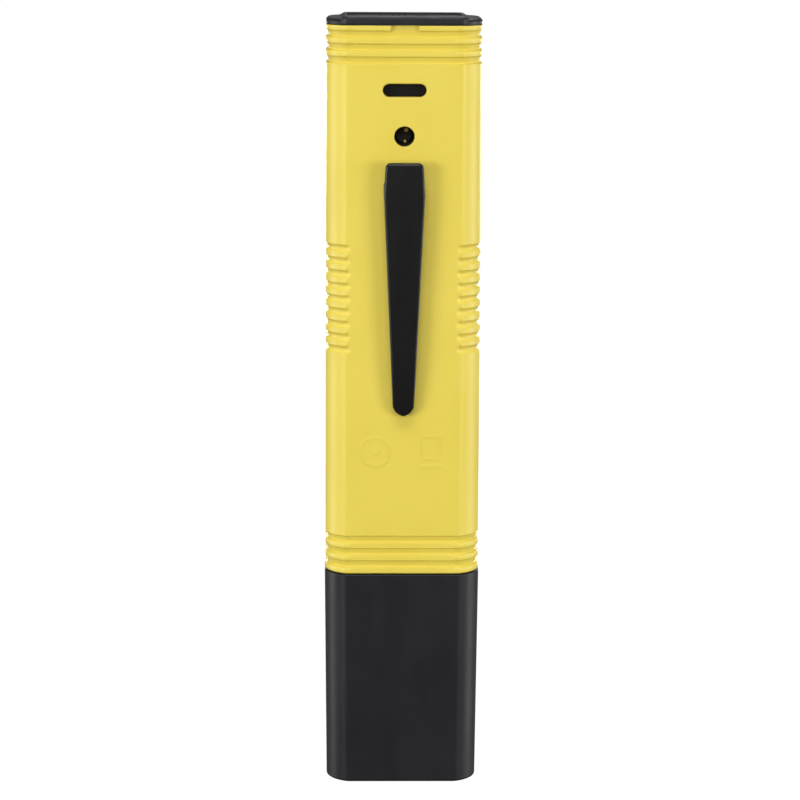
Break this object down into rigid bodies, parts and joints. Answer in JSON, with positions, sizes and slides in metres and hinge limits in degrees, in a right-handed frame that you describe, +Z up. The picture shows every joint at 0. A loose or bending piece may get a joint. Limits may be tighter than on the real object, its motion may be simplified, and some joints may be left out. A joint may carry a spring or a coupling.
{
  "type": "digital ph meter",
  "caption": "Pen-type pH tester: ribbed flat-backed housing with a display window, pocket clip, trimmer, battery drawer with a slide switch, and a push-on cap over a guarded glass bulb.",
  "frame": {"origin": "middle of the protective cap's flat underside, on which the pen stands", "axes": "+Z up the pen, towards the battery drawer; +X its width; -Y the back, with the pocket clip and the trimmer hole; +Y the display side"},
  "size_m": [0.0302, 0.022, 0.15],
  "materials": {
    "housing": "yellow moulded ABS, satin",
    "black_cap": "black moulded ABS, satin",
    "clip": "black moulded nylon, satin",
    "inner_plastic": "dark moulded plastic",
    "white_plastic": "white moulded plastic",
    "label": "printed film",
    "lens": "clear acrylic",
    "display_glass": "grey-green display glass",
    "sensor_glass": "thin clear glass",
    "junction_ceramic": "porous white ceramic",
    "seal_rubber": "black rubber",
    "circuit_board": "green solder mask",
    "chip_epoxy": "black epoxy",
    "component_blue": "blue plastic",
    "brass": "turned brass",
    "steel": "plated steel",
    "contact_metal": "nickel-plated spring strip",
    "silver": "chlorided silver wire",
    "lead_red": "red insulated wire",
    "lead_black": "black insulated wire"
  },
  "bodies": {
    "housing": {"front_shell": "housing", "rear_shell": "housing", "window_lens": "lens", "front_label": "label", "electrode_holder": "inner_plastic", "cap_o_ring": "seal_rubber", "body_o_ring": "seal_rubber", "glass_electrode": "sensor_glass", "silver_wire": "silver", "ceramic_junction": "junction_ceramic", "sensor_seal": "seal_rubber", "main_pcb": "circuit_board", "pcb_screw_1": "steel", "pcb_screw_2": "steel", "pcb_screw_3": "steel", "lcd_holder": "white_plastic", "lcd_glass": "display_glass", "zebra_top": "seal_rubber", "zebra_bottom": "seal_rubber", "chip_blob": "chip_epoxy", "amplifier_chip": "chip_epoxy", "crystal": "steel", "capacitor_1": "component_blue", "capacitor_2": "component_blue", "trimmer_body": "component_blue", "spring_contact_left": "contact_metal", "spring_contact_right": "contact_metal", "lead_signal": "lead_red", "lead_reference": "lead_black"},
    "cap": {"protective_cap": "black_cap"},
    "clip": {"pocket_clip": "clip"},
    "battery_drawer": {"top_cap": "black_cap", "battery_tray": "inner_plastic", "cell_1": "steel", "cell_2": "steel", "cell_3": "steel", "cell_4": "steel", "contact_left": "contact_metal", "contact_right": "contact_metal", "switch_body": "inner_plastic"},
    "power_switch": {"switch_knob": "black_cap"},
    "trimmer": {"trimmer_screw": "brass"}
  },
  "joints": [
    {"name": "cap_pull", "type": "slide", "parent": "cap", "child": "housing", "axis": [0, 0, 1], "range_m": [0, 0.045]},
    {"name": "drawer_pull", "type": "slide", "parent": "housing", "child": "battery_drawer", "axis": [0, 0, 1], "range_m": [0, 0.02]},
    {"name": "switch_slide", "type": "slide", "parent": "battery_drawer", "child": "power_switch", "axis": [1, 0, 0], "range_m": [0, 0.002]},
    {"name": "clip_flex", "type": "hinge", "parent": "housing", "child": "clip", "pos_m": [0, -0.0081, 0.1173], "axis": [-1, 0, 0], "range_deg": [0, 5], "stiffness_Nm_per_rad": 0.3},
    {"name": "trimmer_turn", "type": "hinge", "parent": "housing", "child": "trimmer", "pos_m": [0, -0.003, 0.1273], "axis": [0, -1, 0], "range_deg": [-135, 135]}
  ]
}
